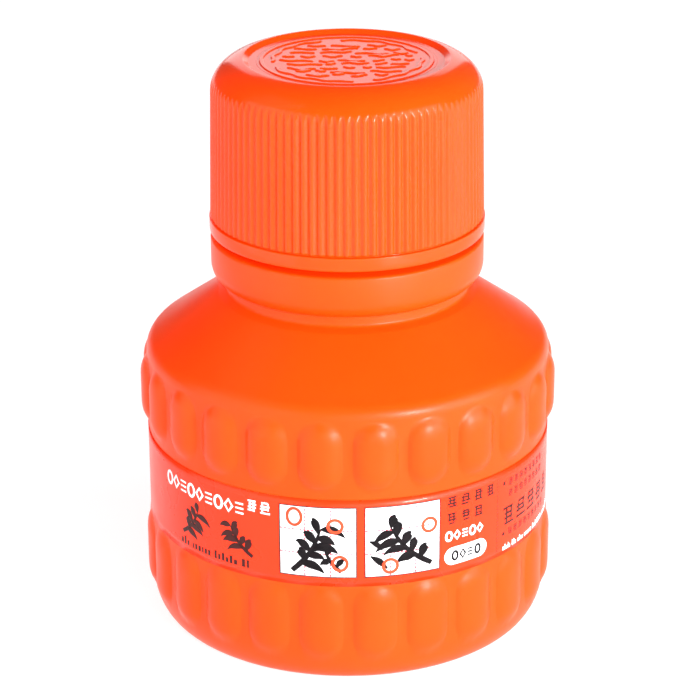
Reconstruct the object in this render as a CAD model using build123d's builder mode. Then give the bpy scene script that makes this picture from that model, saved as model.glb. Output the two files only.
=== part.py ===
"""Small round ink bottle with a ribbed screw cap, built as separate pieces.

Frame: +Z up, origin at the centre of the standing face. All lengths are millimetres.
"""
import os
from math import atan2, cos, pi, sin, sqrt

from build123d import *

# ---- driving dimensions: bottle body ----
wall_radius = 24.5             # plain wall under the label
wall_thickness = 1.0
stand_radius = 22.1            # outer edge of the flat ring it stands on
stand_inner_radius = 19.6
base_corner_height = 4.6
push_up = 1.2                  # how far the middle of the base is raised
push_up_radius = 17.6
shoulder_start = 34.9          # height where wall and shoulder lines would meet
shoulder_turn_radius = 15.7    # where the slope flattens towards the neck root
shoulder_turn_height = 41.15
shoulder_end = 41.45
shoulder_edge_drop = 1.36      # the rounding starts this far below the edge
shoulder_edge_run = 1.14       # and ends this far in from the wall
shoulder_edge_climb = 0.71     # and this far above the edge
shoulder_sag = 0.08            # the shoulder line is very slightly hollow

# ---- driving dimensions: how inner surfaces follow the shoulder, as shares of their inset ----
wall_top_sink = 0.55
slope_start_sink = 0.95
turn_draw_in = 0.6
turn_sink = 0.7

# ---- driving dimensions: raised lobes round the body ----
lobe_count = 24
lobe_half_width = 2.68
upper_lobe_bottom, upper_lobe_top, upper_lobe_rise = 25.2, 33.6, 0.84
lower_lobe_bottom, lower_lobe_top, lower_lobe_rise = 3.3, 12.9, 0.62

# ---- driving dimensions: neck ----
root_radius = 14.6             # low ring where the shoulder ends
collar_bottom, collar_top = 43.0, 48.3
collar_foot_radius = 14.9
collar_radius = 16.4
collar_rounding = 2.0
collar_chamfer = 0.3
root_wall = 1.1                # wall thickness from the root up to the collar
hollow_foot_rise = 1.2         # where the root's inside starts to widen into the collar
hollow_foot_height = 2.4       # where it is widest
hollow_roof = 1.0              # wall left on top of the collar
hollow_chamfer = 0.4
hollow_lip_chamfer = 0.6       # between the collar's hollow and the bore
neck_radius = 13.0
neck_bore = 11.3
lip_height = 66.0
lip_chamfer = 0.4

# ---- driving dimensions: screw thread, six turns to the inch ----
thread_pitch = 25.4 / 6
thread_turns = 2.0
thread_depth = 1.2
thread_root_width = 2.3
thread_crest_width = 1.0
thread_clearance = 0.15        # free play along the axis, each side
neck_thread_start = 52.2
thread_overlap = 0.3           # how far a thread is sunk into its wall

# ---- driving dimensions: screw cap ----
cap_bottom = 49.0
cap_top = 70.0
cap_edge_chamfer = 0.3
cap_band_radius = 16.5
cap_band_top = 50.7
rib_foot_radius, rib_head_radius = 16.42, 16.10
cap_corner_height = 65.9       # where the wall starts to round over
cap_corner_radius = 11.2       # where the rounding ends
cap_recess_radius = 12.2
cap_recess_floor_radius = 11.5
cap_recess_depth = 0.6
rib_count = 100
groove_radius = 0.42
groove_depth = 0.26
cap_bore = 14.5
cap_inner_top = 68.0
emblem_radius = 10.0           # outer relief ring on the top plate
emblem_line = 0.35
emblem_rise = 0.18

# ---- driving dimensions: what is inside the neck ----
flange_radius = 12.6
flange_thickness = 1.0
plug_radius = 11.25
plug_wall = 0.95
plug_bottom = 60.2
plug_lead_in = 0.3
plug_lead_height = 0.5
plug_floor = 61.0
plug_floor_thickness = 1.0
bead_radius = 11.36            # bead that snaps tight in the bore
bead_height = 0.5
spout_foot_radius, spout_tip_radius = 4.7, 4.1
spout_bore = 3.0
spout_tip = 66.4
vent_radius = 0.8
vent_offset = 7.2
liner_radius = 13.6
liner_gap = 0.05

# ---- driving dimensions: label and ink ----
label_bottom, label_top = 13.0, 24.1
label_thickness = 0.1
ink_gap = 0.15                 # ink solid stays this far inside the wall
ink_level = 37.95              # holds sixty millilitres

os.makedirs("parts", exist_ok=True)


def base_corner_points(inset):
    """Inner edge of the standing ring and push-up points, moved in by inset."""
    return [(0, push_up + inset), (push_up_radius - inset, push_up + inset),
            (stand_inner_radius - inset / 2, inset)]


def body_outline(inset, root_drop):
    """Half section of the body from the axis out and up to the neck root.

    inset moves it inwards, and root_drop lowers and narrows its upper end.
    """
    axis_point, push_point, ring_point = base_corner_points(inset)
    corner_x = wall_radius - stand_radius - inset / 2
    corner_z = base_corner_height - inset
    centre = (wall_radius - inset - corner_x, base_corner_height)
    Line(axis_point, push_point)
    Line(push_point, ring_point)
    Line(ring_point, (centre[0], inset))
    EllipticalCenterArc(centre, corner_x, corner_z, start_angle=-90, arc_size=90)
    wall_top = (wall_radius - inset,
                shoulder_start - shoulder_edge_drop - inset * wall_top_sink)
    slope_start = (wall_radius - inset - shoulder_edge_run,
                   shoulder_start + shoulder_edge_climb - inset * slope_start_sink)
    turn_point = (shoulder_turn_radius - inset * turn_draw_in,
                  shoulder_turn_height - inset * turn_sink)
    Line((wall_radius - inset, base_corner_height), wall_top)
    TangentArc(wall_top, slope_start, tangent=(0, 1))
    SagittaArc(slope_start, turn_point, -shoulder_sag)
    Line(turn_point, (root_radius - root_drop, shoulder_end - root_drop / 2))


def lobe_circle(rise):
    """Radius of the lobe's round back and how far its centre is from the axis."""
    chord_radius = sqrt(wall_radius ** 2 - lobe_half_width ** 2)
    height = wall_radius + rise - chord_radius
    radius = (lobe_half_width ** 2 + height ** 2) / (2 * height)
    return radius, wall_radius + rise - radius


def lobe_row(bottom, top, rise, inset, mode):
    """One row of upright lobes with ball ends, or the hollows behind them."""
    radius, centre = lobe_circle(rise)
    end_reach = sqrt(radius ** 2 - (wall_radius - centre) ** 2)
    low, high = bottom + end_reach, top - end_reach
    with PolarLocations(centre, lobe_count, start_angle=180 / lobe_count):
        with Locations((0, 0, (low + high) / 2)):
            Cylinder(radius - inset, high - low, mode=mode)
        with Locations((0, 0, low), (0, 0, high)):
            Sphere(radius - inset, mode=mode)


def thread_section(sign, root_width, crest_width):
    """Trapezium that points outwards (sign 1) or inwards (sign -1)."""
    return [(-sign * thread_overlap, -root_width / 2), (0, -root_width / 2),
            (sign * thread_depth, -crest_width / 2), (sign * thread_depth, crest_width / 2),
            (0, root_width / 2), (-sign * thread_overlap, root_width / 2)]


# ---- bottle: one blown shell with lobes, collar, neck and thread ----
with BuildPart() as bottle:
    with BuildSketch(Plane.XZ):
        with BuildLine():
            body_outline(0, 0)
            Polyline((root_radius, shoulder_end), (root_radius, collar_bottom),
                     (collar_foot_radius, collar_bottom))
            EllipticalCenterArc((collar_foot_radius, collar_bottom + collar_rounding),
                                collar_radius - collar_foot_radius, collar_rounding,
                                start_angle=-90, arc_size=90)
            Polyline((collar_radius, collar_bottom + collar_rounding),
                     (collar_radius, collar_top - collar_chamfer),
                     (collar_radius - collar_chamfer, collar_top), (neck_radius, collar_top),
                     (neck_radius, lip_height - lip_chamfer),
                     (neck_radius - lip_chamfer, lip_height), (0, lip_height), (0, push_up))
        make_face()
    revolve(axis=Axis.Z)
    lobe_row(upper_lobe_bottom, upper_lobe_top, upper_lobe_rise, 0, Mode.ADD)
    lobe_row(lower_lobe_bottom, lower_lobe_top, lower_lobe_rise, 0, Mode.ADD)

    hollow_radius = collar_radius - root_wall
    hollow_top = collar_top - hollow_roof
    with BuildSketch(Plane.XZ):
        with BuildLine():
            body_outline(wall_thickness, root_wall)
            Polyline((root_radius - root_wall, shoulder_end - root_wall / 2),
                     (root_radius - root_wall, collar_bottom + hollow_foot_rise),
                     (hollow_radius, collar_bottom + hollow_foot_height),
                     (hollow_radius, hollow_top - hollow_chamfer),
                     (hollow_radius - hollow_chamfer, hollow_top),
                     (neck_bore + hollow_lip_chamfer, hollow_top),
                     (neck_bore, hollow_top + hollow_lip_chamfer),
                     (neck_bore, lip_height), (0, lip_height), (0, push_up + wall_thickness))
        make_face()
    revolve(axis=Axis.Z, mode=Mode.SUBTRACT)
    lobe_row(upper_lobe_bottom, upper_lobe_top, upper_lobe_rise, wall_thickness, Mode.SUBTRACT)
    lobe_row(lower_lobe_bottom, lower_lobe_top, lower_lobe_rise, wall_thickness, Mode.SUBTRACT)

    with BuildLine() as neck_helix:
        Helix(thread_pitch, thread_pitch * thread_turns, neck_radius, center=(0, 0, neck_thread_start))
    with BuildSketch(Plane(neck_helix.line @ 0, x_dir=(1, 0, 0), z_dir=neck_helix.line % 0)):
        Polygon(*thread_section(1, thread_root_width, thread_crest_width), align=None)
    sweep(path=neck_helix.line, is_frenet=True)
bottle.part.label = "bottle"
export_step(bottle.part, "parts/bottle.step")


# ---- screw cap: ribbed skirt, rounded top with a sunk plate, thread inside ----
cap_draft = atan2(rib_foot_radius - rib_head_radius, cap_corner_height - cap_band_top)
groove_centre = rib_foot_radius + groove_radius - groove_depth
groove_planes = []
for rib in range(rib_count):
    turn = 2 * pi * rib / rib_count
    outwards = Vector(cos(turn), sin(turn), 0)
    groove_planes.append(Plane(
        outwards * groove_centre + Vector(0, 0, cap_band_top),
        x_dir=(-sin(turn), cos(turn), 0),
        z_dir=Vector(0, 0, cos(cap_draft)) - outwards * sin(cap_draft)))

with BuildPart() as screw_cap:
    with BuildSketch(Plane.XZ):
        with BuildLine():
            Polyline((0, cap_bottom), (cap_band_radius - cap_edge_chamfer, cap_bottom),
                     (cap_band_radius, cap_bottom + cap_edge_chamfer),
                     (cap_band_radius, cap_band_top),
                     (rib_foot_radius, cap_band_top), (rib_head_radius, cap_corner_height))
            EllipticalCenterArc((cap_corner_radius, cap_corner_height),
                                rib_head_radius - cap_corner_radius, cap_top - cap_corner_height,
                                start_angle=0, arc_size=90)
            Polyline((cap_corner_radius, cap_top), (0, cap_top), (0, cap_bottom))
        make_face()
    revolve(axis=Axis.Z)

    with BuildSketch(*groove_planes):
        Circle(groove_radius)
    extrude(amount=cap_top - cap_band_top, mode=Mode.SUBTRACT)

    recess_floor = cap_top - cap_recess_depth
    with BuildSketch(Plane.XZ):
        Polygon((0, recess_floor), (cap_recess_floor_radius, recess_floor),
                (cap_recess_radius, cap_top), (0, cap_top), align=None)
    revolve(axis=Axis.Z, mode=Mode.SUBTRACT)
    with BuildSketch(Plane.XY.offset(recess_floor)):
        Circle(emblem_radius)
        Circle(emblem_radius - emblem_line, mode=Mode.SUBTRACT)
    extrude(amount=emblem_rise)

    with BuildSketch(Plane.XY.offset(cap_bottom)):
        Circle(cap_bore)
    extrude(amount=cap_inner_top - cap_bottom, mode=Mode.SUBTRACT)

    overlap_reach = (thread_root_width - thread_crest_width) / 2
    overlap_reach *= (neck_radius + 2 * thread_depth - cap_bore) / thread_depth
    cap_thread_start = neck_thread_start - thread_crest_width - overlap_reach - thread_clearance
    with BuildLine() as cap_helix:
        Helix(thread_pitch, thread_pitch * thread_turns, cap_bore, center=(0, 0, cap_thread_start))
    with BuildSketch(Plane(cap_helix.line @ 0, x_dir=(1, 0, 0), z_dir=cap_helix.line % 0)):
        Polygon(*thread_section(-1, thread_root_width, thread_crest_width), align=None)
    sweep(path=cap_helix.line, is_frenet=True)
screw_cap.part.label = "screw_cap"
export_step(screw_cap.part, "parts/screw_cap.step")

# ---- cap liner: soft sealing disc under the top plate ----
with BuildPart() as cap_liner:
    with BuildSketch(Plane.XY.offset(lip_height + flange_thickness + liner_gap)):
        Circle(liner_radius)
    extrude(amount=cap_inner_top - lip_height - flange_thickness - liner_gap)
cap_liner.part.label = "cap_liner"
export_step(cap_liner.part, "parts/cap_liner.step")

# ---- pour insert: snap-in plug with a small spout and a vent hole ----
with BuildPart() as pour_insert:
    plug_inner = plug_radius - plug_wall
    bead_middle = plug_floor + plug_floor_thickness
    with BuildSketch(Plane.XZ):
        Polygon((spout_bore, plug_floor), (plug_inner, plug_floor), (plug_inner, plug_bottom),
                (plug_radius - plug_lead_in, plug_bottom),
                (plug_radius, plug_bottom + plug_lead_height),
                (plug_radius, bead_middle - bead_height), (bead_radius, bead_middle),
                (plug_radius, bead_middle + bead_height), (plug_radius, lip_height),
                (flange_radius, lip_height), (flange_radius, lip_height + flange_thickness),
                (plug_inner, lip_height + flange_thickness),
                (plug_inner, plug_floor + plug_floor_thickness),
                (spout_foot_radius, plug_floor + plug_floor_thickness),
                (spout_tip_radius, spout_tip), (spout_bore, spout_tip), align=None)
    revolve(axis=Axis.Z)
    with Locations((0, vent_offset, plug_floor + plug_floor_thickness)):
        Hole(vent_radius)
pour_insert.part.label = "pour_insert"
export_step(pour_insert.part, "parts/pour_insert.step")

# ---- label: film wrapped once round the plain band ----
with BuildPart() as label_film:
    with BuildSketch(Plane.XY.offset(label_bottom)):
        Circle(wall_radius + label_thickness)
        Circle(wall_radius, mode=Mode.SUBTRACT)
    extrude(amount=label_top - label_bottom)
label_film.part.label = "label_film"
export_step(label_film.part, "parts/label_film.step")

# ---- ink: the liquid up to its level ----
with BuildPart() as ink_fill:
    ink_inset = wall_thickness + ink_gap
    with BuildSketch(Plane.XZ):
        with BuildLine():
            ink_root_drop = root_wall + ink_gap
            body_outline(ink_inset, ink_root_drop)
            Polyline((root_radius - ink_root_drop, shoulder_end - ink_root_drop / 2),
                     (0, shoulder_end - ink_root_drop / 2), (0, push_up + ink_inset))
        make_face()
    revolve(axis=Axis.Z)
    split(bisect_by=Plane.XY.offset(ink_level), keep=Keep.BOTTOM)
ink_fill.part.label = "ink_fill"
export_step(ink_fill.part, "parts/ink_fill.step")

print("ink holds", round(ink_fill.part.volume / 1000, 2), "mL")
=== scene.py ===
import math

import bpy
import numpy as np
from mathutils import Matrix, Vector


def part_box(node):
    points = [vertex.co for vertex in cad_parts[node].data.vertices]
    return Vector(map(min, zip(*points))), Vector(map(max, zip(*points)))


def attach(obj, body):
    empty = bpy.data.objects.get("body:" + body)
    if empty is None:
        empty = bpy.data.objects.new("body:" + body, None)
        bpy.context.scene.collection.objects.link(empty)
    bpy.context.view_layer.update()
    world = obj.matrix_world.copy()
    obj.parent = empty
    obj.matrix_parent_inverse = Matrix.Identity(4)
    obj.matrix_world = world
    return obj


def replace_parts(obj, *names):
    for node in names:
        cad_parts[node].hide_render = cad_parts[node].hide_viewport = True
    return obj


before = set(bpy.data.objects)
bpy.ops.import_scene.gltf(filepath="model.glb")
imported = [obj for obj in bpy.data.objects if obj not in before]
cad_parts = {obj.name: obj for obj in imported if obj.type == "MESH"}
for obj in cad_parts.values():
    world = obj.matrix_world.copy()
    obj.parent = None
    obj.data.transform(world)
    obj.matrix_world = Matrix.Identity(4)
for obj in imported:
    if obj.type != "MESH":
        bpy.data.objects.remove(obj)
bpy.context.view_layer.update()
mm = 0.001                       # every dictionary below is in millimetres, turned to metres here
fullTurn = 2 * math.pi

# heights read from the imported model, in millimetres
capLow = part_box("screw_cap")[0].z / mm
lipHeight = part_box("bottle")[1].z / mm
labelLow, labelHigh = [corner.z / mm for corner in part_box("label_film")]
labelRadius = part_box("label_film")[1].x / mm


# joins a grid of points, rows by columns, into faces; a pole row is one point, a wrapped row or column
# meets its first again, and open ends get a flat cap. The faces are turned so that the volume is positive
def surface(grid, wrapRows=False, poles=False, endCaps=False):
    rows, columns = grid.shape[:2]
    index = np.arange(rows * columns).reshape(rows, columns)
    points = grid.reshape(-1, 3)
    if poles:
        points = np.vstack([grid[0, :1], grid[1:-1].reshape(-1, 3), grid[-1, :1]])
        index = np.arange((rows - 2) * columns).reshape(rows - 2, columns) + 1
    beside = np.roll(index, -1, axis=1)
    above, aboveBeside = np.roll(index, -1, axis=0), np.roll(beside, -1, axis=0)
    last = None if wrapRows else -1
    quads = np.stack([index[:last], beside[:last], aboveBeside[:last], above[:last]], axis=-1)
    faces = quads.reshape(-1, 4).tolist()
    if poles:
        start, end = np.zeros(columns, int), np.full(columns, len(points) - 1)
        faces += np.stack([start, beside[0], index[0]], axis=-1).tolist()
        faces += np.stack([index[-1], beside[-1], end], axis=-1).tolist()
    if endCaps:
        faces += [index[0, ::-1].tolist(), index[-1].tolist()]
    corner = (points - points.mean(axis=0))[quads.reshape(-1, 4)]
    volume = np.einsum("ij,ij->i", corner[:, 0], np.cross(corner[:, 1], corner[:, 2])).sum()
    volume += np.einsum("ij,ij->i", corner[:, 0], np.cross(corner[:, 2], corner[:, 3])).sum()
    if volume < 0:
        faces = [face[::-1] for face in faces]
    return points, faces


# puts one or more surfaces into one mesh object, in metres, smooth shaded
def makePiece(name, surfaces, material, body):
    points, faces, used = [], [], 0
    for somePoints, someFaces in surfaces:
        points.append(somePoints)
        faces += [[corner + used for corner in face] for face in someFaces]
        used += len(somePoints)
    mesh = bpy.data.meshes.new(name)
    mesh.from_pydata((np.vstack(points) * mm).tolist(), [], faces)
    mesh.shade_smooth()
    mesh.materials.append(material)
    piece = bpy.data.objects.new(name, mesh)
    bpy.context.scene.collection.objects.link(piece)
    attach(piece, body)
    return piece


# an outline of corners (radius, height, rounding, step): each corner is cut back by rounding * tan(turn / 2)
# and joined by an arc, and each straight run is divided into lengths of about step
def roundedOutline(corners, arcSteps=6):
    place = np.array([corner[:2] for corner in corners], float)
    line = [place[:1]]
    for i in range(1, len(corners)):
        rounding, step = corners[i][2], corners[i - 1][3]
        before = (place[i] - place[i - 1]) / np.linalg.norm(place[i] - place[i - 1])
        arc = place[i:i + 1]
        if rounding and i < len(corners) - 1:
            after = (place[i + 1] - place[i]) / np.linalg.norm(place[i + 1] - place[i])
            turn = math.atan2(before[0] * after[1] - before[1] * after[0], before @ after)
            cut = rounding * math.tan(abs(turn) / 2)
            side = np.array([-before[1], before[0]]) * math.copysign(1, turn)
            centre = place[i] - before * cut + side * rounding
            angle = np.linspace(0, abs(turn), arcSteps + 1)[:, None]
            arc = centre - side * rounding * np.cos(angle) + before * rounding * np.sin(angle)
        start = line[-1][-1]
        count = max(1, round(np.linalg.norm(arc[0] - start) / step))
        share = np.linspace(0, 1, count + 1)[1:-1, None]
        if count > 2:              # keep the shading of the straight run flat up to its rounded ends
            share = np.vstack([[[0.25 / count]], share, [[1 - 0.25 / count]]])
        line += [start + (arc[0] - start) * share, arc]
    return np.vstack(line)


# a quarter ellipse from a level start to an upright end: sine across and one minus cosine up
def quarterRise(start, end, count):
    angle = np.linspace(0, math.pi / 2, count)
    return np.stack([start[0] + (end[0] - start[0]) * np.sin(angle),
                     start[1] + (end[1] - start[1]) * (1 - np.cos(angle))], axis=-1)


# turns a grid of radii, rows by angles, about the upright axis: (r sin a, -r cos a, height of the row)
def turned(radius, height, angle):
    upright = np.repeat(height[:, None], len(angle), axis=1)
    return np.stack([radius * np.sin(angle), -radius * np.cos(angle), upright], axis=-1)


# the larger of two heights, with a soft join that adds a quarter of the width where they are equal
def softMax(a, b, width):
    near = np.clip(1 - np.abs(a - b) / width, 0, 1)
    return np.maximum(a, b) + near ** 2 * width / 4


# rises from 0 at low to 1 at high, level at both ends: share squared times 3 less twice the share
def smoothStep(low, high, value):
    share = np.clip((value - low) / (high - low), 0, 1)
    return share * share * (3 - 2 * share)


# a material with its nodes, its links, its shader and the coordinates of the piece
def newMaterial(name):
    material = bpy.data.materials.new(name)
    material.use_nodes = True
    nodes = material.node_tree.nodes
    shader = nodes["Principled BSDF"]
    place = nodes.new("ShaderNodeTexCoord").outputs["Object"]
    return material, nodes, material.node_tree.links, shader, place


# soft noise over the piece, from 0 to 1; a stretch under 1 draws it out along that axis
def noiseNode(nodes, links, place, scale, detail=3.0, stretch=(1, 1, 1), distortion=0.0):
    mapping = nodes.new("ShaderNodeMapping")
    mapping.inputs["Scale"].default_value = stretch
    links.new(place, mapping.inputs["Vector"])
    noise = nodes.new("ShaderNodeTexNoise")
    noise.inputs["Scale"].default_value = scale
    noise.inputs["Detail"].default_value = detail
    noise.inputs["Distortion"].default_value = distortion
    links.new(mapping.outputs["Vector"], noise.inputs["Vector"])
    return noise.outputs["Fac"]


# a straight line from low to high as the value goes from fromLow to fromHigh, level outside
def ramp(nodes, links, value, low, high, fromLow=0.3, fromHigh=0.7):
    node = nodes.new("ShaderNodeMapRange")
    node.inputs["From Min"].default_value = fromLow
    node.inputs["From Max"].default_value = fromHigh
    node.inputs["To Min"].default_value = low
    node.inputs["To Max"].default_value = high
    links.new(value, node.inputs["Value"])
    return node.outputs["Result"]


# first colour where the value is 0, second where it is 1
def mixColours(nodes, links, value, first, second):
    node = nodes.new("ShaderNodeMix")
    node.data_type = "RGBA"
    node.inputs["A"].default_value = (*first, 1)
    node.inputs["B"].default_value = (*second, 1)
    links.new(value, node.inputs["Factor"])
    return node.outputs["Result"]


# tilts the shading as if the surface stood out by height times distance
def bump(nodes, links, height, strength, distance, under=None):
    node = nodes.new("ShaderNodeBump")
    node.inputs["Strength"].default_value = strength
    node.inputs["Distance"].default_value = distance
    links.new(height, node.inputs["Height"])
    if under is not None:
        links.new(under, node.inputs["Normal"])
    return node.outputs["Normal"]


# blown or moulded plastic: two close tones, uneven gloss, a fine grain, tool lines and a few specks
def plastic(name, look):
    material, nodes, links, shader, place = newMaterial(name)
    cloud = noiseNode(nodes, links, place, look["cloudScale"], 4, look.get("stretch", (1, 1, 1)))
    tone = mixColours(nodes, links, ramp(nodes, links, cloud, 0, 1), look["tone"], look["tone2"])
    links.new(tone, shader.inputs["Base Color"])
    wear = noiseNode(nodes, links, place, look["glossScale"], 5, distortion=0.4)
    links.new(ramp(nodes, links, wear, *look["roughness"]), shader.inputs["Roughness"])
    grain = noiseNode(nodes, links, place, look["grainScale"], 2)
    normal = bump(nodes, links, grain, look["grain"], 0.02 * mm)
    if look.get("lines"):
        lines = noiseNode(nodes, links, place, look["lineScale"], 2, (1, 1, 0.03))
        normal = bump(nodes, links, lines, look["lines"], 0.02 * mm, normal)
    if look.get("specks"):
        cells = nodes.new("ShaderNodeTexVoronoi")
        cells.inputs["Scale"].default_value = look["speckScale"]
        links.new(place, cells.inputs["Vector"])
        speck = ramp(nodes, links, cells.outputs["Distance"], 1, 0, 0.0, look["specks"])
        normal = bump(nodes, links, speck, 0.5, 0.05 * mm, normal)
    links.new(normal, shader.inputs["Normal"])
    shader.inputs["IOR"].default_value = look.get("ior", 1.5)
    shader.inputs["Specular IOR Level"].default_value = look.get("shine", 0.2)
    shader.inputs["Subsurface Weight"].default_value = look.get("glow", 0)
    shader.inputs["Subsurface Radius"].default_value = (1.0, 0.25, 0.08)
    shader.inputs["Subsurface Scale"].default_value = look.get("glowDepth", 1) * mm
    shader.inputs["Coat Weight"].default_value = look.get("coat", 0)
    shader.inputs["Coat Roughness"].default_value = look.get("coatRoughness", 0.05)
    return material


bottlePlastic = plastic("bottlePlastic", {
    "tone": (0.92, 0.044, 0.0010), "tone2": (0.95, 0.050, 0.0016), "cloudScale": 60,
    "glossScale": 130, "roughness": (0.28, 0.37), "grainScale": 2600, "grain": 0.16,
    "lines": 0.12, "lineScale": 900, "specks": 0.06, "speckScale": 90,
    "glow": 0.12, "glowDepth": 1.2})
capPlastic = plastic("capPlastic", {
    "tone": (0.92, 0.042, 0.0010), "tone2": (0.95, 0.047, 0.0016), "cloudScale": 80,
    "glossScale": 160, "roughness": (0.12, 0.19), "grainScale": 1800, "grain": 0.06,
    "specks": 0.05, "speckScale": 110, "glow": 0.08, "glowDepth": 0.8, "shine": 0.25})
filmRed = plastic("filmRed", {
    "tone": (0.90, 0.026, 0.002), "tone2": (0.93, 0.031, 0.004), "cloudScale": 70,
    "glossScale": 200, "roughness": (0.24, 0.34), "grainScale": 380, "grain": 0.5,
    "coat": 0.2, "coatRoughness": 0.08})
printWhite = plastic("printWhite", {
    "tone": (0.86, 0.86, 0.88), "tone2": (0.80, 0.80, 0.83), "cloudScale": 300,
    "glossScale": 400, "roughness": (0.25, 0.36), "grainScale": 600, "grain": 0.2})
printInk = plastic("printInk", {
    "tone": (0.004, 0.0035, 0.004), "tone2": (0.009, 0.007, 0.008), "cloudScale": 400,
    "glossScale": 400, "roughness": (0.32, 0.45), "grainScale": 600, "grain": 0.2, "shine": 0.1})
printBrown = plastic("printBrown", {
    "tone": (0.035, 0.007, 0.006), "tone2": (0.050, 0.009, 0.008), "cloudScale": 400,
    "glossScale": 400, "roughness": (0.28, 0.40), "grainScale": 600, "grain": 0.2})
printPink = plastic("printPink", {
    "tone": (0.56, 0.055, 0.08), "tone2": (0.60, 0.07, 0.10), "cloudScale": 500,
    "glossScale": 400, "roughness": (0.28, 0.40), "grainScale": 600, "grain": 0.2})
printOrange = plastic("printOrange", {
    "tone": (0.62, 0.045, 0.015), "tone2": (0.68, 0.065, 0.025), "cloudScale": 500,
    "glossScale": 400, "roughness": (0.28, 0.40), "grainScale": 600, "grain": 0.2})
linerFoam = plastic("linerFoam", {
    "tone": (0.78, 0.78, 0.74), "tone2": (0.84, 0.84, 0.81), "cloudScale": 220,
    "glossScale": 300, "roughness": (0.6, 0.8), "grainScale": 3200, "grain": 0.9,
    "glow": 0.2, "glowDepth": 0.6})
insertPlastic = plastic("insertPlastic", {
    "tone": (0.74, 0.74, 0.70), "tone2": (0.80, 0.80, 0.77), "cloudScale": 140,
    "glossScale": 200, "roughness": (0.30, 0.42), "grainScale": 2200, "grain": 0.1,
    "glow": 0.5, "glowDepth": 1.5})
redInk = plastic("redInk", {
    "tone": (0.50, 0.012, 0.004), "tone2": (0.60, 0.018, 0.006), "cloudScale": 60,
    "glossScale": 60, "roughness": (0.04, 0.10), "grainScale": 90, "grain": 0.1, "ior": 1.34})
print("materials made")


bottle = {
    "wall": 24.5, "thickness": 1.0, "collarThickness": 1.1, "stand": 22.1, "standInner": 19.6,
    "pushUp": 1.2, "pushUpRadius": 17.6, "cornerHeight": 4.6,
    "shoulderEdge": (24.5, 34.95), "shoulderTurn": (15.7, 41.15), "shoulderEnd": 41.45,
    "edgeRounding": 2.1, "root": 14.6, "collarBottom": 43.0, "collarFoot": 14.9,
    "collar": 16.4, "collarRounding": 2.0, "collarTop": 48.3, "neck": 13.0, "bore": 11.3,
    "lobes": 24, "lobeHalfWidth": 2.62, "lobeJoin": 0.08, "lobeBulge": 2.4, "lobeSide": 0.85,
    "lobeRows": [(25.2, 33.6, 0.84), (3.3, 12.9, 0.62)],    # bottom, top, rise
}


# the angles of the columns: each lobe and gap is sampled more finely where the lobe's side meets the wall
def bottleAngles():
    pitch = fullTurn / bottle["lobes"]
    foot = bottle["lobeHalfWidth"] / bottle["wall"]
    across = np.concatenate([np.linspace(0, 0.8, 6), [0.89, 0.95, 0.99, 1.03]]) * foot
    across = np.concatenate([-across[:0:-1], across])
    across = np.append(across, pitch / 2)
    return (np.arange(bottle["lobes"])[:, None] * pitch + pitch / 2 + across).ravel()


# a lobe stands on the wall by rise * (1 - u ** bulge) ** side, where u is the distance to the lobe's
# upright middle line, along the wall, divided by half its width
def lobeReach(angle, height, row):
    bottom, top, rise = row
    wall, halfWidth = bottle["wall"], bottle["lobeHalfWidth"]
    pitch = fullTurn / bottle["lobes"]
    across = ((angle % pitch) - pitch / 2) * wall
    past = np.maximum(0, np.maximum(bottom + halfWidth - height, height - top + halfWidth))
    u = np.hypot(across, past[:, None]) / halfWidth
    lobe = rise * np.clip(1 - u ** bottle["lobeBulge"], 0, 1) ** bottle["lobeSide"]
    return np.where(u < 1, wall + lobe, 0)


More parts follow.
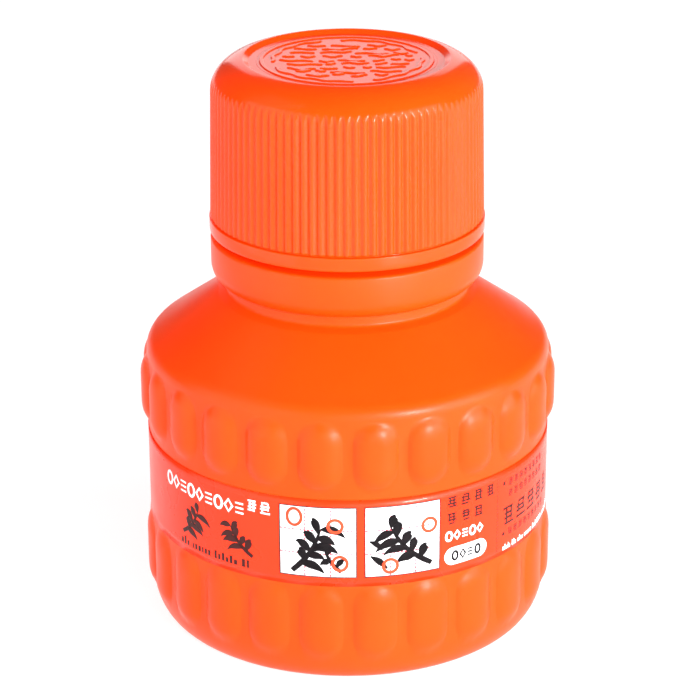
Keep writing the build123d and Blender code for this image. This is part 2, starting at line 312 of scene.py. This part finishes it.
# the outline from the base's middle out, up and over the lip, then down inside to the floor's middle;
# between base corner and shoulder the radius is the larger of the wall's and the lobes' reach
def makeBottle():
    b, t, inset = bottle, bottle["thickness"], bottle["collarThickness"]
    edge = b["shoulderEdge"]
    foot = roundedOutline([(0, b["pushUp"], 0, 6), (b["pushUpRadius"], b["pushUp"], 1.0, 1),
                           (b["standInner"], 0, 0.8, 2), (b["stand"], 0, 0, 1)], 3)
    corner = quarterRise((b["stand"], 0), (b["wall"], b["cornerHeight"]), 12)
    upper = roundedOutline([
        (b["wall"], b["cornerHeight"], 0, 0.46), (*edge, b["edgeRounding"], 1.6),
        (*b["shoulderTurn"], 2.0, 0.6), (b["root"], b["shoulderEnd"] + 0.2, 0.5, 0.6),
        (b["root"], b["collarBottom"], 0.12, 0.4), (b["collarFoot"], b["collarBottom"], 0, 1)], 6)
    underside = quarterRise((b["collarFoot"], b["collarBottom"]),
                            (b["collar"], b["collarBottom"] + b["collarRounding"]), 10)
    neck = roundedOutline([
        (b["collar"], b["collarBottom"] + b["collarRounding"], 0, 2),
        (b["collar"], b["collarTop"], 0.35, 3), (b["neck"], b["collarTop"], 0.4, 9),
        (b["neck"], lipHeight, 0.4, 2), (b["bore"], lipHeight, 0.3, 9),
        (b["bore"], b["collarTop"] - 0.5, 0.6, 4),
        (b["collar"] - inset, b["collarTop"] - 1.0, 0.5, 3),
        (b["collar"] - inset, b["collarBottom"] + 2.4, 0.6, 3),
        (b["root"] - inset, b["collarBottom"] + 1.2, 0.5, 3),
        (b["root"] - inset, b["shoulderEnd"] - 0.5, 0.8, 5),
        (edge[0] - t, edge[1] - 0.5, 2, 9), (b["wall"] - t, t, 4, 6),
        (b["standInner"], t, 0.8, 3), (b["pushUpRadius"] - 0.4, b["pushUp"] + t, 1, 9),
        (0, b["pushUp"] + t, 0, 1)], 3)
    outline = np.vstack([foot, corner[1:], upper[1:], underside[1:], neck[1:]])
    outerRows = len(foot) + len(corner) + len(upper) - 2
    angle = bottleAngles()
    radius = np.repeat(outline[:, :1], len(angle), axis=1)
    body = slice(len(foot), outerRows)
    for row in b["lobeRows"]:
        reach = lobeReach(angle, outline[body, 1], row)
        radius[body] = softMax(radius[body], reach, b["lobeJoin"])
    grid = turned(radius, outline[:, 1], angle)
    return makePiece("bottleShell", [surface(grid, poles=True)], bottlePlastic, "bottle")


thread = {
    "pitch": 25.4 / 6, "turns": 2.0, "depth": 1.2, "rootWidth": 2.3, "crestWidth": 1.0,
    "sunk": 0.3, "soft": 0.12, "perTurn": 120, "fade": 0.08,
    "neckStart": 52.2, "capStart": 50.4125,
}


# a trapezium with a soft foot carried up a helix: the angle grows evenly, the height by one pitch a turn,
# and the depth rises and falls smoothly over the first and last share of the length
def threadSurface(wallRadius, start, sign):
    t = thread
    count = int(t["turns"] * t["perTurn"]) + 1
    share = np.linspace(0, 1, count)
    angle = share * t["turns"] * fullTurn + math.pi / 2
    fade = smoothStep(0, t["fade"], share) * smoothStep(0, t["fade"], 1 - share)
    half, crest, depth = t["rootWidth"] / 2, t["crestWidth"] / 2, t["depth"]
    lower = np.array([(-t["sunk"], -half), (0, -half), (t["soft"], -half + 0.05),
                      (depth - t["soft"], -crest - 0.07), (depth, -crest + 0.1)])
    section = np.vstack([lower, lower[::-1] * (1, -1)])          # out from the wall, up from the middle
    out = np.where(section[:, 0] > 0, section[:, 0] * fade[:, None], section[:, 0])
    radius = wallRadius + sign * out
    height = start + share[:, None] * t["turns"] * t["pitch"] + section[:, 1]
    grid = np.stack([radius * np.sin(angle)[:, None], -radius * np.cos(angle)[:, None], height], axis=-1)
    return surface(grid, endCaps=True)


shell = makeBottle()
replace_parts(shell, "bottle")
makePiece("neckThread", [threadSurface(bottle["neck"], thread["neckStart"], 1)],
          bottlePlastic, "bottle")
print("bottle made")


cap = {
    "ribs": 100, "perRib": 8, "band": 16.5, "bandHeight": 1.7, "valleyHeight": 0.06,
    "ribFoot": 16.42, "ribHead": 16.10, "ribDepth": 0.33, "ribTip": 0.32, "ribJoin": 0.12,
    "cornerHeight": 65.9, "cornerRadius": 11.2, "top": 70.0, "recess": 12.2, "recessFloor": 11.5,
    "recessDepth": 0.6, "bore": 14.5, "innerTop": 68.0,
}


# between band and corner the radius is the rib line less a groove that is deepest between ribs; the
# groove's share is a raised cosine of the rib angle, and it ends where the corner falls below its floor
def makeCap():
    c = cap
    columns = c["ribs"] * c["perRib"]
    bandTop = capLow + c["bandHeight"]
    inside = roundedOutline([(0, c["innerTop"], 0, 4), (c["bore"], c["innerTop"], 0.5, 4),
                             (c["bore"], capLow, 0.2, 1), (c["band"], capLow, 0.25, 0.6),
                             (c["band"], bandTop, 0.12, 0.3),
                             (c["ribFoot"] - c["ribDepth"], bandTop, 0.05, 0.2),
                             (c["ribFoot"] - c["ribDepth"], bandTop + c["valleyHeight"], 0, 1)], 4)
    wallStart = bandTop + c["valleyHeight"]
    tip = wallStart + c["ribTip"] * np.linspace(0, 1, 8)[1:]
    wall = np.concatenate([tip, np.linspace(tip[-1], c["cornerHeight"], 14)[1:]])
    slope = (c["ribHead"] - c["ribFoot"]) / (c["cornerHeight"] - bandTop)
    angle = np.linspace(0, math.pi / 2, 44)
    cornerR = c["ribHead"] + (c["cornerRadius"] - c["ribHead"]) * (1 - np.cos(angle))
    cornerZ = c["cornerHeight"] + (c["top"] - c["cornerHeight"]) * np.sin(angle)
    onCorner = cornerR > c["recess"] + 0.15
    cornerR, cornerZ = cornerR[onCorner][1:], cornerZ[onCorner][1:]
    floorHeight = c["top"] - c["recessDepth"]
    plate = roundedOutline([(cornerR[-1], cornerZ[-1], 0, 0.2), (c["recess"], cornerZ[-1] + 0.02, 0.12, 0.3),
                            (c["recessFloor"], floorHeight, 0.15, 0.8), (0, floorHeight, 0, 1)], 4)
    height = np.concatenate([inside[:, 1], wall, cornerZ, plate[1:, 1]])
    smooth = np.concatenate([inside[:, 0], c["ribFoot"] + slope * (wall - bandTop), cornerR, plate[1:, 0]])
    radius = np.repeat(smooth[:, None], columns, axis=1)
    ribbed = slice(len(inside), len(inside) + len(wall) + len(cornerR))
    z = height[ribbed, None]
    turn = np.arange(columns) / c["perRib"]
    crest = (0.5 + 0.5 * np.cos(turn * fullTurn)) ** 0.75
    upTip = np.clip((z - wallStart) / c["ribTip"], 0, 1)
    tipShare = np.sqrt(upTip * (2 - upTip))          # the ribs' lower ends are a quarter circle
    ribRadius = c["ribFoot"] + slope * (z - bandTop) - c["ribDepth"] * (1 - crest * tipShare)
    radius[ribbed] = -softMax(-radius[ribbed], -ribRadius, c["ribJoin"])
    grid = turned(radius, height, np.arange(columns) / columns * fullTurn)
    return makePiece("capShell", [surface(grid, poles=True)], capPlastic, "cap")


capShell = makeCap()
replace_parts(capShell, "screw_cap")
makePiece("capThread", [threadSurface(cap["bore"], thread["capStart"], -1)],
          capPlastic, "cap")
print("cap made")

liner = {
    "columns": 240, "rounding": 0.25, "ring": 11.95, "ringHalf": 0.75, "press": 0.04,
    "dimple": 0.03, "dimpleWaves": 2.4,
}


# a disc with rounded edges; its lower face is pressed up in a ring by a raised cosine, where it seals,
# and both faces carry the shallow dimples of the foam, a product of two cosines
def makeLiner():
    c = liner
    low, high = [corner.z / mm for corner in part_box("cap_liner")]
    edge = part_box("cap_liner")[1].x / mm
    outline = roundedOutline([(0, low, 0, 0.3), (edge, low, c["rounding"], 0.3),
                              (edge, high, c["rounding"], 0.3), (0, high, 0, 0.6)], 5)
    angle = np.arange(c["columns"]) / c["columns"] * fullTurn
    grid = turned(np.repeat(outline[:, :1], c["columns"], axis=1), outline[:, 1], angle)
    radius = outline[:, 0]
    lower = outline[:, 1] < low + 0.01
    near = np.clip(np.abs(radius - c["ring"]) / c["ringHalf"], 0, 1)
    grid[..., 2] += np.where(lower, c["press"] * (0.5 + 0.5 * np.cos(near * math.pi)), 0)[:, None]
    ripple = np.cos(grid[..., 0] * c["dimpleWaves"]) * np.cos(grid[..., 1] * c["dimpleWaves"])
    dimples = c["dimple"] * (0.5 - 0.5 * ripple)
    inner = (1 - smoothStep(edge - 1.4, edge - 0.8, radius))[:, None]        # none near the edge
    grid[..., 2] += dimples * inner * np.where(lower, 1, -1)[:, None]
    return makePiece("linerDisc", [surface(grid, poles=True)], linerFoam, "liner")


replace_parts(makeLiner(), "cap_liner")
print("liner made")

relief = {
    "rings": 128, "columns": 600, "edge": 10.7, "rise": 0.14, "sunk": 0.3, "lineHalf": 0.17,
    "soft": 0.09, "outerRing": 10.0, "innerRing": 8.75, "ringWave": 0.16, "ringWaves": 17,
    "rows": 9, "margin": 0.9, "strokeLength": (0.8, 4.2), "strokeGap": (0.5, 1.1),
    "drift": 0.35, "tilt": 0.16, "wave": (0.10, 0.30), "seed": 11,
}


# height over a flat disc: one where the distance to the nearest stroke is under half a line, falling
# smoothly to nothing; the strokes are rings and wavy ripples laid across the disc in broken rows
def makeRelief():
    c = relief
    angle = np.arange(c["columns"]) / c["columns"] * fullTurn
    ring = c["edge"] * np.linspace(0, 1, c["rings"]) ** 0.75
    r, a = np.meshgrid(ring, angle, indexing="ij")
    x, y = r * np.sin(a), -r * np.cos(a)
    distance = np.abs(r - c["outerRing"])
    wavy = c["innerRing"] + c["ringWave"] * np.sin(c["ringWaves"] * a) + 0.1 * np.sin(5 * a + 1)
    gap = 0.5 * smoothStep(0.80, 0.95, np.sin(4 * a + 0.7))       # the inner ring is broken in places
    distance = np.minimum(distance, np.abs(r - wavy) + gap)
    draw = np.random.default_rng(c["seed"])
    reach = c["innerRing"] - c["margin"]
    for rowY in np.linspace(-reach, reach, c["rows"] + 2)[1:-1]:
        halfRow = math.sqrt(reach ** 2 - rowY ** 2)
        start = -halfRow + draw.uniform(0, 0.8)
        while start < halfRow - 0.6:
            end = min(start + draw.uniform(*c["strokeLength"]), halfRow)
            middleY = rowY + draw.uniform(-c["drift"], c["drift"])
            tilt, wave = draw.uniform(-c["tilt"], c["tilt"]), draw.uniform(*c["wave"])
            along = np.clip(x, start, end)
            strokeY = middleY + tilt * (along - start) + wave * np.sin(along * 2.1 + draw.uniform(0, 6))
            thin = 0.12 * np.cos((along - start) / (end - start) * fullTurn)
            distance = np.minimum(distance, np.hypot(x - along, y - strokeY) + thin)
            start = end + draw.uniform(*c["strokeGap"])
    height = 1 - smoothStep(c["lineHalf"], c["lineHalf"] + c["soft"], distance)
    height *= 1 - smoothStep(c["edge"] - 0.4, c["edge"] - 0.2, r)
    floorHeight = cap["top"] - cap["recessDepth"]
    top = floorHeight + 0.01 + c["rise"] * height
    top[-1] = floorHeight - c["sunk"]
    grid = np.stack([x, y, top], axis=-1)[::-1]
    under = np.stack([x[-1:] * 0, y[-1:] * 0, top[-1:]], axis=-1)
    return makePiece("capRelief", [surface(np.concatenate([under, grid]), poles=True)],
                     capPlastic, "cap")


makeRelief()
print("relief made")


label = {
    "columns": 360, "rows": 12, "thickness": 0.1, "flapEnd": 6.0, "inset": 0.02,
}


# a point (across, up) on the label, at a height over the film: the angle is across divided by the radius
def onLabel(across, up, lift):
    angle, radius = across / labelRadius, labelRadius + lift
    height = np.broadcast_to(up, angle.shape)
    return np.stack([radius * np.sin(angle), -radius * np.cos(angle), height], axis=-1)


# a printed line: a centre line with half widths, five points wide, carried at a constant lift and closed
# below by the same points sunk into the film
def ribbon(line, halfWidth, lift, wrap=False):
    line = np.asarray(line, float)
    ahead = np.roll(line, -1, axis=0) - np.roll(line, 1, axis=0) if wrap else np.gradient(line, axis=0)
    side = np.stack([-ahead[:, 1], ahead[:, 0]], axis=-1)
    side /= np.maximum(np.linalg.norm(side, axis=1, keepdims=True), 1e-9)
    across = np.linspace(-1, 1, 5)
    across = np.concatenate([across, across[::-1]])
    lifts = np.concatenate([np.full(5, lift), np.full(5, -0.03)])
    half = np.broadcast_to(halfWidth, (len(line),))
    flat = line[:, None] + side[:, None] * half[:, None, None] * across[None, :, None]
    grid = onLabel(flat[..., 0], flat[..., 1], lifts[None, :])
    return surface(grid, wrapRows=wrap, endCaps=not wrap)


# an upright-edged block of print from left to right, drawn as a ribbon whose width is its height
def block(left, right, low, high, lift, step=0.35):
    count = max(2, int(abs(right - left) / step) + 1)
    line = np.stack([np.linspace(left, right, count), np.full(count, (low + high) / 2)], axis=-1)
    return ribbon(line, (high - low) / 2, lift)


# a smooth curve through given points, each with a half width: cubic pieces whose slope at a
# point is half the step between its neighbours
def stroke(points, lift, perSpan=9):
    p = np.array(points, float)
    p = np.vstack([2 * p[0] - p[1], p, 2 * p[-1] - p[-2]])
    t = np.linspace(0, 1, perSpan, endpoint=False)[:, None]
    spans = []
    for i in range(1, len(p) - 2):
        a, b, c, d = p[i - 1:i + 3]
        spans.append(0.5 * (2 * b + (c - a) * t + (2 * a - 5 * b + 4 * c - d) * t ** 2
                            + (3 * b - a - 3 * c + d) * t ** 3))
    curve = np.vstack(spans + [p[-2:-1]])
    return ribbon(curve[:, :2], np.maximum(curve[:, 2], 0.03), lift)


# runs of small upright ticks that stand for a line of small print; run lengths, tick heights and widths
# come from a seeded draw
def greekRow(draw, left, right, low, high, lift, tick):
    ticks, start = [], left
    while start < right - tick:
        for _ in range(int(draw.integers(3, 8))):
            width = tick * draw.uniform(0.7, 1.3)
            top = low + (high - low) * draw.choice([0.62, 0.68, 1.0])
            if start + width < right:
                ticks.append(block(start, start + width, low, top, lift))
            start += width + tick * 0.7
        start += tick * 1.3
    return ticks


# a ring: the cosine and sine of an even angle, stretched upwards
def ringLine(across, up, radius, stretch=1.0, count=40):
    angle = np.arange(count) / count * fullTurn
    return np.stack([across + radius * np.cos(angle), up + radius * stretch * np.sin(angle)], axis=-1)


# the film: one turn round the wall, a thin closed band whose last stretch lies over its own start at the back
def makeLabel():
    c = label
    count = c["columns"]
    half = labelRadius * math.pi
    across = np.linspace(-half, half + c["flapEnd"], count)
    lift = c["thickness"] * smoothStep(half - 1.0, half, across)
    up = np.linspace(labelLow + c["inset"], labelHigh - c["inset"], c["rows"])
    section = np.concatenate([up, up[::-1]])
    side = np.concatenate([np.zeros(c["rows"]), np.full(c["rows"], -c["thickness"])])
    grid = onLabel(np.repeat(across[:, None], 2 * c["rows"], axis=1), section[None, :],
                   lift[:, None] + side[None, :])
    return makePiece("labelFilm", [surface(grid, endCaps=True)], filmRed, "bottle")


film = makeLabel()
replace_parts(film, "label_film")


# a painted sprig: a stalk bent sideways like a half sine, and leaves to its left and right in turn, each
# a tapered stroke that leaves the stalk at a spread angle and droops towards its tip
def sprig(draw, foot, tip, bend, leaves, size, weight, lift):
    foot, tip = np.array(foot), np.array(tip)
    along, marks = tip - foot, []
    side = np.array([-along[1], along[0]]) / np.linalg.norm(along)
    share = np.linspace(0, 1, 6)[:, None]
    stalk = foot + along * share + side * bend * np.sin(share * math.pi)
    width = weight * np.array([0.55, 0.62, 0.55, 0.5, 0.4, 0.15])
    marks.append(stroke(np.column_stack([stalk, width]), lift))
    for leaf in range(leaves):
        at = 0.22 + 0.78 * leaf / (leaves - 1)
        start = foot + along * at + side * bend * math.sin(at * math.pi)
        heading = math.atan2(along[1], along[0]) + (1 if leaf % 2 else -1) * draw.uniform(0.7, 1.25)
        length = size * draw.uniform(0.75, 1.1)
        droop = np.array([[0, 0], [0, 0.04], [0, 0.02], [0, -0.10], [0, -0.28]]) * length
        reach = np.array([0, 0.25, 0.5, 0.78, 1.0])[:, None] * length
        line = start + reach * np.array([math.cos(heading), math.sin(heading)]) + droop
        width = weight * np.array([0.2, 0.85, 1.0, 0.6, 0.06]) * draw.uniform(0.85, 1.1)
        marks.append(stroke(np.column_stack([line, width]), lift))
    return marks


# a small hatched square: level bars crossed by upright ones, their ends set back by a seeded draw
def hatchCell(draw, left, low, size, lift, weight):
    marks = []
    for share in (0.08, 0.38, 0.66, 0.94):
        ends = left + size * np.array([draw.uniform(0, 0.25), 1 - draw.uniform(0, 0.25)])
        up = low + size * (share + draw.uniform(-0.04, 0.04))
        marks.append(ribbon(np.column_stack([np.linspace(*ends, 4), np.full(4, up)]), weight, lift))
    for share in (0.28, 0.72):
        ends = low + size * np.array([draw.uniform(0, 0.35), 1 - draw.uniform(0, 0.2)])
        across = left + size * (share + draw.uniform(-0.08, 0.08))
        marks.append(ribbon(np.column_stack([np.full(4, across), np.linspace(*ends, 4)]), weight, lift))
    return marks


# a border of plain ornaments, ring, diamond and three level bars, repeated along the row
def ornamentRow(left, low, width, height, gap, count, lift, weight):
    marks = []
    for place in range(count):
        middle, centre = left + place * (width + gap) + width / 2, low + height / 2
        if place % 3 == 2:
            for up in (low + weight, centre, low + height - weight):
                bar = weight * 0.7
                marks.append(block(middle - width / 2, middle + width / 2, up - bar, up + bar, lift))
        else:
            corners = 24 if place % 3 == 0 else 4
            line = ringLine(middle, centre, width / 2, height / width, corners)
            marks.append(ribbon(line, weight, lift, True))
    return marks


# places are across from the middle of the front and up from the table
printing = {
    "panelLift": 0.012, "gridLift": 0.018, "strokeLift": 0.026, "circleLift": 0.034, "seed": 5,
    "panels": [(-8.10, 0.98), (1.95, 11.05)], "panelLow": 14.2, "panelHigh": 23.15,
    "frameLine": 0.07, "gridLine": 0.08, "dash": 0.30, "dashPlaces": (0.1, 8.7, 0.46),
    "circle": 0.84, "circleLine": 0.19,
    "circles": [(-6.3, 21.75, 1.25), (-1.5, 20.8, 0.95), (-0.95, 16.0, 1.05),
                (9.7, 20.15, 1.0), (4.95, 15.5, 1.0)],            # across, up, stretch
    "brushSprigs": [((-6.6, 14.8), (-3.2, 20.3), -0.5, 9, 2.75, 0.56),    # foot, tip, bend, leaves,
                    ((-0.8, 14.9), (-2.8, 18.0), 0.3, 4, 1.7, 0.42),      # leaf length, weight
                    ((10.0, 15.2), (5.0, 20.4), 0.6, 9, 2.75, 0.56)],
    "brushStrokes": [[(2.6, 16.9, 0.08), (3.6, 16.2, 0.42), (4.6, 15.2, 0.10)],
                     [(2.5, 18.8, 0.08), (3.3, 18.4, 0.36), (4.0, 17.6, 0.08)]],
    "brownSprigs": [((-22.8, 15.6), (-19.9, 19.0), -0.4, 8, 2.2, 0.42),
                    ((-11.6, 15.6), (-14.6, 18.9), 0.4, 8, 2.1, 0.42)],
    "pill": (12.85, 16.75), "pillUp": 15.35, "pillHalf": 1.15,
    # left, low, width, height, gap and count of each border; then the weight of its line
    "leftBorder": (-26.2, 20.75, 1.12, 1.55, 0.42, 9), "leftBorderLine": 0.17,
    "rightBorder": (11.9, 17.45, 0.8, 1.1, 0.32, 5), "rightBorderLine": 0.14,
    "pillBorder": (12.8, 14.8, 0.72, 1.1, 0.38, 4), "pillBorderLine": 0.15,
    "whiteCells": [(-12.3, 21.5), (-10.6, 21.5)], "whiteCell": 1.4, "cellLine": 0.11,
    "brownCells": [(12.0, 21.7), (13.95, 21.7), (15.9, 21.7), (17.8, 21.7),
                   (12.0, 19.6), (14.0, 19.6), (15.9, 19.6)], "brownCell": 1.35,
    "smallCell": 0.85, "smallPitch": 1.15, "smallLeft": 21.8, "smallLine": 0.06,
    "smallLows": (21.8, 20.3), "smallCount": 8, "lastLow": 15.3, "lastCount": 9,
    "bigCell": 2.2, "bigPitch": 2.7, "bigLeft": 20.8, "bigLow": 16.8, "bigCount": 5, "bigLine": 0.15,
    "dotted": (19.64, 19.78), "dotPlaces": (13.8, 23.3, 0.42), "dotHeight": 0.14,
    "rounds": [(20.9, 22.3), (20.9, 15.7)], "round": 0.13, "roundLine": 0.12,
    "brownTicks": (-23.2, -11.7, 14.0, 15.0), "brownTick": 0.34,    # left, right, low, high
    "whiteTicks": (20.8, 36.5, 13.5, 14.25), "whiteTick": 0.2,
    "backRows": 5, "backTop": 21.9, "backPitch": 1.75, "backHeight": 0.9, "backTick": 0.3,
    "backRight": (40.0, 58.0, 4), "backLeft": (-57.0, -36.0, 5),    # left, right, most that is cut off
}


# the two panels: a white block each, a frame line round it, and dashed lines at its thirds
def printPanels(white, grey, pink):
    c = printing
    low, high, lift = c["panelLow"], c["panelHigh"], c["gridLift"]
    for left, right in c["panels"]:
        white.append(block(left, right, low, high, c["panelLift"]))
        for edgeLine in [[(left, low), (left, high)], [(right, low), (right, high)]]:
            grey.append(ribbon(np.linspace(*edgeLine, 6), c["frameLine"], lift))
        for edgeUp in (low, high):
            grey.append(block(left, right, edgeUp - c["frameLine"], edgeUp + c["frameLine"], lift))
        for third in (1 / 3, 2 / 3):
            up, across = low + (high - low) * third, left + (right - left) * third
            for place in np.arange(*c["dashPlaces"]):
                dashLeft, dashLow = left + place, low + place
                pink.append(block(dashLeft, dashLeft + c["dash"],
                                  up - c["gridLine"], up + c["gridLine"], lift))
                pink.append(block(across - c["gridLine"], across + c["gridLine"],
                                  dashLow, dashLow + c["dash"], lift))


# a lozenge with round ends: its half width is a sine over each quarter turn and level between
def pill():
    c = printing
    (left, right), half = c["pill"], c["pillHalf"]
    turn = np.linspace(0.05, math.pi / 2, 9)
    across = np.concatenate([left - half * np.cos(turn), np.linspace(left, right, 9)[1:-1],
                             right + half * np.cos(turn[::-1])])
    width = half * np.concatenate([np.sin(turn), np.ones(7), np.sin(turn[::-1])])
    line = np.column_stack([across, np.full(len(across), c["pillUp"])])
    return ribbon(line, width, c["panelLift"])


# all the print, one mesh for each colour: panels and circles, the brush sprigs, then the small marks from
# left to right and those at the back
def makePrint():
    c = printing
    white, pink, dark, brown, orange, grey = [], [], [], [], [], []
    flat, raised = c["panelLift"], c["strokeLift"]
    printPanels(white, grey, pink)
    for across, up, stretch in c["circles"]:
        line = ringLine(across, up, c["circle"], stretch)
        orange.append(ribbon(line, c["circleLine"], c["circleLift"], True))

    draw = np.random.default_rng(c["seed"])
    for values in c["brushSprigs"]:
        dark += sprig(draw, *values, raised)
    for points in c["brushStrokes"]:
        dark.append(stroke(points, raised))
    for values in c["brownSprigs"]:
        brown += sprig(draw, *values, raised)

    white += ornamentRow(*c["leftBorder"], flat, c["leftBorderLine"])
    for place in c["whiteCells"]:
        white += hatchCell(draw, *place, c["whiteCell"], flat, c["cellLine"])
    brown += greekRow(draw, *c["brownTicks"], flat, c["brownTick"])
    for place in c["brownCells"]:
        brown += hatchCell(draw, *place, c["brownCell"], flat, c["cellLine"])
    white += ornamentRow(*c["rightBorder"], flat, c["rightBorderLine"])
    white.append(pill())
    dark += ornamentRow(*c["pillBorder"], raised, c["pillBorderLine"])

    for up in np.arange(*c["dotPlaces"]):
        brown.append(block(*c["dotted"], up, up + c["dotHeight"], flat))
    for across, up in c["rounds"]:
        brown.append(ribbon(ringLine(across, up, c["round"], count=16), c["roundLine"], flat, True))

    small, pitch, first = c["smallCell"], c["smallPitch"], c["smallLeft"]
    for place in range(c["smallCount"]):
        for low in c["smallLows"]:
            brown += hatchCell(draw, first + place * pitch, low, small, flat, c["smallLine"])
    for place in range(c["bigCount"]):
        left = c["bigLeft"] + place * c["bigPitch"]
        brown += hatchCell(draw, left, c["bigLow"], c["bigCell"], flat, c["bigLine"])
    for place in range(c["lastCount"]):
        brown += hatchCell(draw, first + place * pitch, c["lastLow"], small, flat, c["smallLine"])

    for row in range(c["backRows"]):
        low = c["backTop"] - row * c["backPitch"]
        for left, right, cut in (c["backRight"], c["backLeft"]):
            right -= draw.uniform(0, cut)
            brown += greekRow(draw, left, right, low, low + c["backHeight"], flat, c["backTick"])
    white += greekRow(draw, *c["whiteTicks"], flat, c["whiteTick"])

    for name, marks, material in [("printWhiteMarks", white, printWhite), ("printPinkGrid", pink, printPink),
                                  ("printBrush", dark, printInk), ("printBrown", brown, printBrown),
                                  ("printCircles", orange, printOrange),
                                  ("printFrames", grey, printBrown)]:
        makePiece(name, marks, material, "bottle")


makePrint()
print("label made")

for node, material in [("pour_insert", insertPlastic), ("ink_fill", redInk)]:
    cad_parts[node].data.materials.clear()
    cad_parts[node].data.materials.append(material)


studio = {
    "floorSize": 3.0, "floorGlow": 0.76, "floorTones": [(0.30, 0.30, 0.30), (0.34, 0.34, 0.34)],
    "floorDrop": 0.05 * mm, "aim": 0.035, "world": 0.10,
    "lights": [    # name, place, width, height, power, seen in reflections
        ("fillFront", (0.18, -0.72, 0.17), 0.60, 0.34, 7.8, False),
        ("fillRight", (0.64, -0.26, 0.18), 0.50, 0.34, 5.0, False),
        ("softRight", (0.55, -0.43, 0.24), 0.90, 0.46, 2.8, True),
        ("softLeft", (-0.59, -0.38, 0.24), 1.05, 0.46, 2.4, True),
        ("keyRight", (0.40, -0.54, 0.17), 0.15, 0.15, 3.8, True),
        ("backPanel", (0.0, 0.80, 0.30), 0.50, 0.50, 1.25, True),
        ("fillLeft", (-0.50, -0.10, 0.55), 0.50, 0.40, 2.4, False),
    ],
    "cards": [    # name, angle of the inner edge, near end, length, width, brightness
        ("cardLeft", -41, 0.11, 0.40, 0.30, 0.8),
        ("cardKey", 27, 0.11, 0.40, 0.07, 2.0),
        ("cardRight", 47, 0.11, 0.40, 0.30, 0.55),
    ],
}


# a square of pale paper that glows a little, so that it stays white out to the corners
def makeFloor():
    material, nodes, links, shader, place = newMaterial("floorPaper")
    grain = noiseNode(nodes, links, place, 900, 3)
    tone = mixColours(nodes, links, ramp(nodes, links, grain, 0, 1), *studio["floorTones"])
    links.new(tone, shader.inputs["Base Color"])
    links.new(ramp(nodes, links, grain, 0.7, 0.85), shader.inputs["Roughness"])
    shader.inputs["Emission Color"].default_value = (1, 1, 1, 1)
    shader.inputs["Emission Strength"].default_value = studio["floorGlow"]
    half = studio["floorSize"] / 2
    mesh = bpy.data.meshes.new("floor")
    under = -studio["floorDrop"]    # clear of the standing ring, so the two faces don't mix
    corners = [(-half, -half, under), (half, -half, under), (half, half, under), (-half, half, under)]
    mesh.from_pydata(corners, [], [(0, 1, 2, 3)])
    mesh.materials.append(material)
    floor = bpy.data.objects.new("floor", mesh)
    bpy.context.scene.collection.objects.link(floor)


# a lit card that lies on the table: its inner edge runs outwards at the angle, and its power is its
# brightness times its area times pi
def makeCard(name, angle, near, length, width, brightness):
    turn = math.radians(angle)
    outwards = Vector((math.sin(turn), -math.cos(turn), 0))
    sideways = Vector((math.cos(turn), math.sin(turn), 0)) * math.copysign(1, turn)
    light = bpy.data.lights.new(name, "AREA")
    light.shape, light.size, light.size_y = "RECTANGLE", width, length
    light.energy = brightness * length * width * math.pi
    lamp = bpy.data.objects.new(name, light)
    lamp.location = outwards * (near + length / 2) + sideways * width / 2 + Vector((0, 0, 0.002))
    lamp.rotation_euler = (math.pi, 0, turn)
    bpy.context.scene.collection.objects.link(lamp)


# the cards, the soft panels that all aim at the middle of the bottle, and an even pale sky
def makeLights():
    for card in studio["cards"]:
        makeCard(*card)
    for name, place, width, height, power, reflected in studio["lights"]:
        light = bpy.data.lights.new(name, "AREA")
        light.shape, light.size, light.size_y, light.energy = "RECTANGLE", width, height, power
        lamp = bpy.data.objects.new(name, light)
        lamp.location = place
        towards = Vector((0, 0, studio["aim"])) - Vector(place)
        lamp.rotation_euler = towards.to_track_quat("-Z", "Y").to_euler()
        lamp.visible_glossy = reflected
        bpy.context.scene.collection.objects.link(lamp)
    world = bpy.data.worlds.new("softWorld")
    world.use_nodes = True
    world.node_tree.nodes["Background"].inputs["Color"].default_value = (1, 1, 1, 1)
    world.node_tree.nodes["Background"].inputs["Strength"].default_value = studio["world"]
    bpy.context.scene.world = world
    bpy.context.scene.view_settings.view_transform = "Standard"


camera = {
    "place": (0.00029, -0.29735, 0.15423), "down": 22.219, "roll": -0.17,
    "lens": 135.07, "sensor": 36, "clip": (0.01, 10),
}


# the camera looks along +Y, tipped down, with its right and up vectors turned a little for the roll
def makeCamera():
    tip, roll = math.radians(camera["down"]), math.radians(camera["roll"])
    right, up = Vector((1, 0, 0)), Vector((0, math.sin(tip), math.cos(tip)))
    right, up = (right * math.cos(roll) + up * math.sin(roll)), (up * math.cos(roll) - right * math.sin(roll))
    back = right.cross(up)
    data = bpy.data.cameras.new("camera")
    data.lens, data.sensor_width = camera["lens"], camera["sensor"]
    data.clip_start, data.clip_end = camera["clip"]
    holder = bpy.data.objects.new("camera", data)
    facing = Matrix((right, up, back)).transposed().to_4x4()
    holder.matrix_world = Matrix.Translation(camera["place"]) @ facing
    bpy.context.scene.collection.objects.link(holder)
    bpy.context.scene.camera = holder


makeFloor()
makeLights()
makeCamera()
print("stage made")
